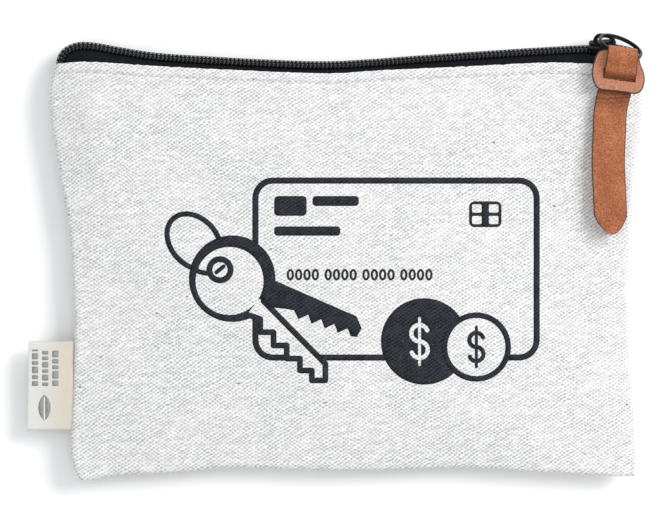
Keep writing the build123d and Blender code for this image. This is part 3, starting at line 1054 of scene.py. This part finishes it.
def seam_stitching():
    """Thread that closes the sides and the bottom, just inside the edge."""
    left = curve_points(LEFT_EDGE, 60)[4:52][::-1] + [SEAM_INSET, 0]
    bottom = curve_points(BOTTOM_EDGE, 90)[1:-1] + [0, SEAM_INSET]
    right = curve_points(RIGHT_EDGE, 60)[4:52] - [SEAM_INSET, 0]
    flat = np.vstack([left, bottom, right])
    line = np.column_stack([flat, np.full(len(flat), SEAM_Z)])
    return tube("seam_stitching", line, circle(THREAD_RADIUS, 8), CREAM_THREAD)


settle(stitches("front_stitches", 1, front_panel), "pouch", "front_topstitch")
settle(stitches("back_stitches", -1, back_panel), "pouch", "back_topstitch")
settle(seam_stitching(), "pouch", "seam_thread")


# ---------------------------------------------------------------- slider and ring

CROWN_WIRE = 0.64
# The ring hangs aslant: turned about the upright line through the pull, and tipped from the CAD ring's lean
RING_TURN = -23
RING_TIP = -4
RING_WIRE = 0.9
RING_STEP = 0.32
RING_HALF_WIDTH = 0.42
RING_HALF_HEIGHT = 0.29
RING_START = 70
RING_SWEEP = 705


def prism(name, outline, low, high, bevel, frame_at):
    """Outline along the chain and across it, extruded outwards from low to high, with soft edges."""
    origin, along, outward, across = frame_at
    bm = bmesh.new()
    face = bm.faces.new([bm.verts.new(origin + along * a + across * b + outward * low) for a, b in outline])
    made = bmesh.ops.extrude_face_region(bm, geom=[face])
    moved = [v for v in made["geom"] if isinstance(v, bmesh.types.BMVert)]
    bmesh.ops.translate(bm, verts=moved, vec=outward * (high - low))
    bmesh.ops.recalc_face_normals(bm, faces=bm.faces)
    return soften(from_bmesh(name, bm, ENAMEL), bevel, segments=4, sharper_than=25)


def slider_outline(half_length, tail, nose, corner):
    """Narrow tail on the left, wide nose on the right, with round corners."""
    centres = ((half_length - corner, -nose + corner), (half_length - corner, nose - corner),
               (-half_length + corner, tail - corner), (-half_length + corner, -tail + corner))
    return round_corners(centres, corner, 5)


def slider(frame_at):
    """Die-cast slider, leaning with the chain: two plates, the post, the side flanges and the crown's rib."""
    plate = slider_outline(half_length=4.15, tail=2.75, nose=3.55, corner=1.3)
    post = [(0.8, -0.25), (3.3, -0.7), (3.7, 0), (3.3, 0.7), (0.8, 0.25)]
    parts = [prism("upper_plate", plate, 0.85, 1.75, 0.32, frame_at),
             prism("lower_plate", plate, -1.85, -1.05, 0.3, frame_at),
             prism("post", post, -1.2, 1.0, 0.1, frame_at)]
    for side in (-1, 1):
        flange = [(-3.4, side * 2.62), (3.5, side * 3.35), (3.5, side * 2.85), (-3.4, side * 2.14)]
        parts.append(prism("flange", flange, -0.25, 1.0, 0.15, frame_at))
    rib = slider_outline(half_length=3.9, tail=0.75, nose=0.95, corner=0.6)
    parts.append(prism("rib", rib, 1.55, 2.15, 0.25, frame_at))
    return join("slider_casting", parts)


def crown(foot):
    """Arch over the slider, of thick round wire; foot is the Y where it goes in."""
    left, right, top = CROWN_LOW.x + CROWN_WIRE, CROWN_HIGH.x - CROWN_WIRE, CROWN_HIGH.y - CROWN_WIRE
    line = curve_points([(left, foot, SEAM_Z + 0.4), (left + 0.05, foot + 1.2, SEAM_Z + 0.1),
                         (CROWN_LOW.x + 1.5, top - 0.12, SEAM_Z),
                         ((left + right) / 2, top + 0.04, SEAM_Z),
                         (CROWN_HIGH.x - 1.6, top - 0.35, SEAM_Z),
                         (right - 0.1, foot + 1.4, SEAM_Z + 0.1), (right, foot, SEAM_Z + 0.4)], 48)
    return tube("slider_arch", line, circle(CROWN_WIRE, 14, 0.95), ENAMEL)


def rounded_section(half_width, half_height, count=12):
    """Section of flat wire with round corners."""
    angles = [2 * math.pi * (k + 0.5) / count for k in range(count)]
    return [(half_width * math.cos(a) * abs(math.cos(a)) ** -0.25,
             half_height * math.sin(a) * abs(math.sin(a)) ** -0.25) for a in angles]


def split_ring():
    """Two turns of flat wire side by side, with the ends stepped."""
    lean = math.atan2(RING_HIGH.y - RING_LOW.y, RING_HIGH.z - RING_LOW.z)
    turn = Matrix.Rotation(math.radians(RING_TURN), 3, "Z") @ Matrix.Rotation(math.radians(RING_TIP), 3, "X")
    across = turn @ Vector((1, 0, 0))
    normal = turn @ Vector((0, math.cos(lean), math.sin(lean)))
    up = turn @ Vector((0, -math.sin(lean), math.cos(lean)))
    centre = PULL_PIVOT + turn @ ((RING_LOW + RING_HIGH) / 2 - PULL_PIVOT)
    radius = (RING_HIGH.x - RING_LOW.x - RING_WIRE) / 2
    line = []
    for t in np.linspace(0, 1, 200):
        angle = math.radians(RING_START + t * RING_SWEEP)
        step = RING_STEP * (2 * float(smooth((t - 0.46) / 0.08)) - 1)
        line.append(centre + (across * math.cos(angle) + up * math.sin(angle)) * radius + normal * step)
    section = rounded_section(RING_HALF_WIDTH, RING_HALF_HEIGHT)
    return tube("split_ring_wire", np.array(line), section, RING, up=tuple(normal))


chain_line, chain_across, chain_outward = chain_frame(400)
under_slider = int(np.argmin(np.abs(chain_line[:, 0] - SLIDER_X)))
slider_frame = [Vector(way) for way in (chain_line[under_slider], (1, 0, 0), chain_outward[under_slider],
                                        chain_across[under_slider])]
settle(slider(slider_frame), "slider", "slider_body")
settle(crown(slider_frame[0].y + 1.6), "slider", "slider_crown")
settle(split_ring(), "ring", "split_ring")


# ---------------------------------------------------------------- leather pull

LEATHER = 1.3
NECK_HALF = 4.35
STRAP_WIDER = 0.7
TIP_LENGTH = 5.7
# Where along the blank the neck widens to the strap, and where the strap starts to cup and tilt
NECK_LENGTH = 26
CUP_FROM, CUP_DEPTH = 24, 0.132
TILT_FROM, TILT = 20, 0.35
HEAD_LEVEL = PULL_PIVOT.z - 0.4
HEAD_RIM = 0.4
# Y and X of the strap's middle line; then the head and its slot, X and Y
STRAP_LINE = [(63.0, 86.9), (60.0, 86.6), (56.0, 86.1), (53.0, 85.4), (49.5, 84.3), (44.0, 83.2),
              (38.0, 82.9), (28.6, 82.6), (19.4, 83.0), (12.5, 83.3), (6.8, 83.8)]
HEAD_OUTLINE = [(82.6, 63.0), (79.6, 62.2), (78.1, 59.1), (77.5, 56.3), (77.7, 53.9), (78.6, 51.8),
                (80.3, 50.6), (84.7, 50.1), (88.0, 49.7), (90.3, 49.3), (92.0, 49.8), (93.1, 51.4),
                (93.5, 54.1), (93.0, 56.4), (92.2, 58.4), (91.8, 60.4), (91.3, 63.0)]
HEAD_SLOT = [(81.1, 54.5), (90.3, 53.2), (90.6, 55.6), (81.4, 56.9)]
# Half of the strap's section: fractions of its half width, and of its thickness
ACROSS = [-1.0, -0.985, -0.94, -0.8, -0.5, 0.0, 0.5, 0.8, 0.94, 0.985, 1.0]
DEPTH = [0.30, 0.42, 0.49, 0.5, 0.5, 0.5, 0.5, 0.5, 0.49, 0.42, 0.30]


def strap_middle():
    """Line of the strap seen from the side: over the ring, down through the slot and on to its tip."""
    _, py, pz = PULL_PIVOT
    turn = 2.25
    over, under = HEAD_LEVEL + LEATHER + 0.1, HEAD_LEVEL - LEATHER - 0.1
    path = [(py - 3.6, HEAD_LEVEL + 0.1), (py - 2.0, pz - turn + 0.3), (py - 0.5, pz - turn),
            (py + 0.7, pz - 1.4), (py + 1.1, pz), (py + 0.7, pz + 1.4), (py - 0.5, pz + turn),
            (py - 2.4, pz + turn - 0.2), (py - 4.2, over + 0.3), (py - 5.6, over - 0.1),
            (py - 6.5, HEAD_LEVEL), (py - 7.7, under + 0.1), (py - 11.0, under - 0.15),
            (py - 16, under - 0.4), (py - 25, under - 0.65), (py - 35, under - 0.9),
            (py - 45, under - 1.1), (6.9, under - 1.2)]
    return curve_points(path, 230)


def strap():
    """Neck and strap: grain on the outer side, flesh on the inner side, dark cut edges."""
    middle = strap_middle()
    tangent = tangents(middle)
    normal = np.column_stack([tangent[:, 1], -tangent[:, 0]])
    run = run_along(middle)
    line = curve_points(STRAP_LINE[::-1], 120)
    centre = np.interp(middle[:, 0], line[:, 0], line[:, 1])
    # the pull's cross lines fall to the right: most at the head, little at the tip
    slant = 0.03 + 0.115 * smooth((middle[:, 0] - 42) / 10)
    half = NECK_HALF + STRAP_WIDER * smooth(run / NECK_LENGTH)
    to_tip = (run[-1] - run) / TIP_LENGTH
    half = np.where(to_tip < 1, half * np.maximum(0.05, np.sqrt(np.minimum(to_tip, 1))), half)
    cup, tilt = CUP_DEPTH * smooth((run - CUP_FROM) / 12), TILT * smooth((run - TILT_FROM) / 10)
    section = list(zip(ACROSS, DEPTH)) + [(a, -d) for a, d in zip(ACROSS[::-1], DEPTH)]
    vertices = []
    for i, (y, z) in enumerate(middle):
        for a, d in section:
            shift_y, shift_z = normal[i] * (d * LEATHER)
            vertices.append((centre[i] + a * half[i], y + shift_y - slant[i] * a * half[i],
                             z + shift_z - cup[i] * a * a - tilt[i] * a))
    around, outer = len(section), len(ACROSS)
    obj = face_outwards(make_object("strap", vertices, capped_rings(len(middle), around), GRAIN, FLESH, EDGE))
    for polygon in obj.data.polygons:
        places = [k % around for k in polygon.vertices]
        on_grain = min(places) >= 2 and max(places) <= outer - 3
        on_flesh = min(places) >= outer + 1 and max(places) <= around - 2
        polygon.material_index = 0 if on_grain else 1 if on_flesh else 2
    return obj


def head():
    """Flat head with a slot and a rounded rim: flesh side up, dark cut edges."""
    def height(x, y):
        return HEAD_LEVEL + 0.018 * (x - 85.5) - 0.02 * (57 - y) + LEATHER / 2
    bm = bmesh.new()
    outline = [tuple(p) for p in curve_points(HEAD_OUTLINE, 70)]
    fill(bm, [outline], [HEAD_SLOT], height, step=1.0, clear=0.7)
    face_up(bm)
    obj = from_bmesh("head", bm, FLESH, GRAIN, EDGE)
    solid = obj.modifiers.new("thickness", "SOLIDIFY")
    solid.thickness = LEATHER * MM
    solid.offset = -1
    solid.material_offset = 1
    solid.material_offset_rim = 2
    return soften(obj, HEAD_RIM, segments=3, sharper_than=50, material=2, use_clamp_overlap=False)


settle(join("leather_pull_tab", [strap(), head()]), "pull", "leather_pull")


# ---------------------------------------------------------------- side label

RIBBON_THICKNESS = 0.22
RIBBON_GAP = 0.5
LABEL_INK_LIFT = 0.41


def label_height(x, y):
    """Gentle curl of the label away from the seam."""
    out = (LABEL_HIGH.x + 1.2 - x) / (LABEL_HIGH.x - LABEL_LOW.x)
    return SEAM_Z + 0.2 - 1.1 * out**2 + 0.25 * math.sin(0.22 * (y + 40)) * out


def side_label():
    """Ribbon folded at its outer end, both ends held in the seam."""
    left, right = LABEL_LOW.x, LABEL_HIGH.x + 1.5
    low, high = LABEL_LOW.y, LABEL_HIGH.y
    half = RIBBON_GAP / 2
    layer = np.linspace(right, left + RIBBON_GAP, 22)
    fold = [(left + half + 0.1 + x, z) for x, z in arc(0, 0, half, 90, 270, 8)[1:-1]]
    loop = [(x, half) for x in layer] + fold + [(x, -half) for x in layer[::-1]]
    ys = np.linspace(low, high, 36)
    vertices = []
    for y in ys:
        lean = 0.6 * (y - low) / (high - low)
        for x, dz in loop:
            vertices.append((x + lean * (right - x) / 14 - 0.25, y, label_height(x, y) + dz))
    obj = make_object("ribbon_label", vertices, grid_faces(len(ys), len(loop)), RIBBON)
    return thicken(face_outwards(obj), RIBBON_THICKNESS, 0.0)


def label_print():
    """Rows of short bars and a plain leaf mark, in place of the words and sign."""
    shapes = []
    lengths = random.Random(7)
    for column in range(3):
        x, y = -92.0 + column * 3.1, -39.0
        while y < -28.4:
            length = lengths.uniform(1.0, 2.6)
            shapes.append(([rounded_rectangle(x, y, x + 1.9, min(y + length, -27.9), 0.3, steps=3)], []))
            y += length + 0.55
    leaf_x, leaf_y = -88.2, -45.6
    leaf = arc(leaf_x - 3.3, leaf_y, 5.2, -51, 51, 14) + arc(leaf_x + 3.3, leaf_y, 5.2, 129, 231, 14)[1:-1]
    shapes.append(([leaf], stroke([(leaf_x, leaf_y - 3.6), (leaf_x, leaf_y + 3.0)], 0.5)))
    return printed("label_marks", shapes, lambda x, y: label_height(x, y) + LABEL_INK_LIFT, LABEL_INK, 1.2)


label = side_label()
label_ink = label_print()
for piece in (label, label_ink):
    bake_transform(piece)
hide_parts("side_label")


# ---------------------------------------------------------------- room, light and camera

# Name, place in metres, size and power of each lamp
LAMPS = (("key", (0.80, 0.45, 0.75), 0.6, 11.5),
         ("fill", (-0.9, -0.2, 1.2), 1.4, 3.2),
         ("top", (0.0, 0.1, 1.7), 1.2, 3.2))
SKY_COLOUR = (0.97, 0.985, 1.0, 1)
SKY_STRENGTH = 0.67
VIEW_WIDTH = 0.2034
VIEW_DISTANCE = 1.5


def studio():
    """Pale floor under a broad soft light."""
    bpy.ops.mesh.primitive_plane_add(size=6.0, location=(0, 0, -0.0002))
    floor = bpy.context.object
    floor.name = "floor"
    floor.data.materials.append(floor_material())
    world = bpy.data.worlds.new("studio")
    bpy.context.scene.world = world
    world.use_nodes = True
    colour, strength = world.node_tree.nodes["Background"].inputs[:2]
    colour.default_value = SKY_COLOUR
    strength.default_value = SKY_STRENGTH
    for name, place, size, power in LAMPS:
        light = bpy.data.lights.new(name, "AREA")
        light.shape = "SQUARE"
        light.size = size
        light.energy = power
        lamp = bpy.data.objects.new(name, light)
        bpy.context.scene.collection.objects.link(lamp)
        lamp.location = place
        lamp.rotation_euler = (-Vector(place)).to_track_quat("-Z", "Y").to_euler()


def camera():
    """Straight above the front panel, far off, with the pouch filling the frame."""
    data = bpy.data.cameras.new("camera")
    data.sensor_width = 36.0
    data.lens = data.sensor_width * VIEW_DISTANCE / VIEW_WIDTH
    obj = bpy.data.objects.new("camera", data)
    bpy.context.scene.collection.objects.link(obj)
    obj.location = (0.0, 0.0, VIEW_DISTANCE + SEAM_Z * MM)
    bpy.context.scene.camera = obj


studio()
camera()
bpy.context.scene.view_settings.view_transform = "Standard"
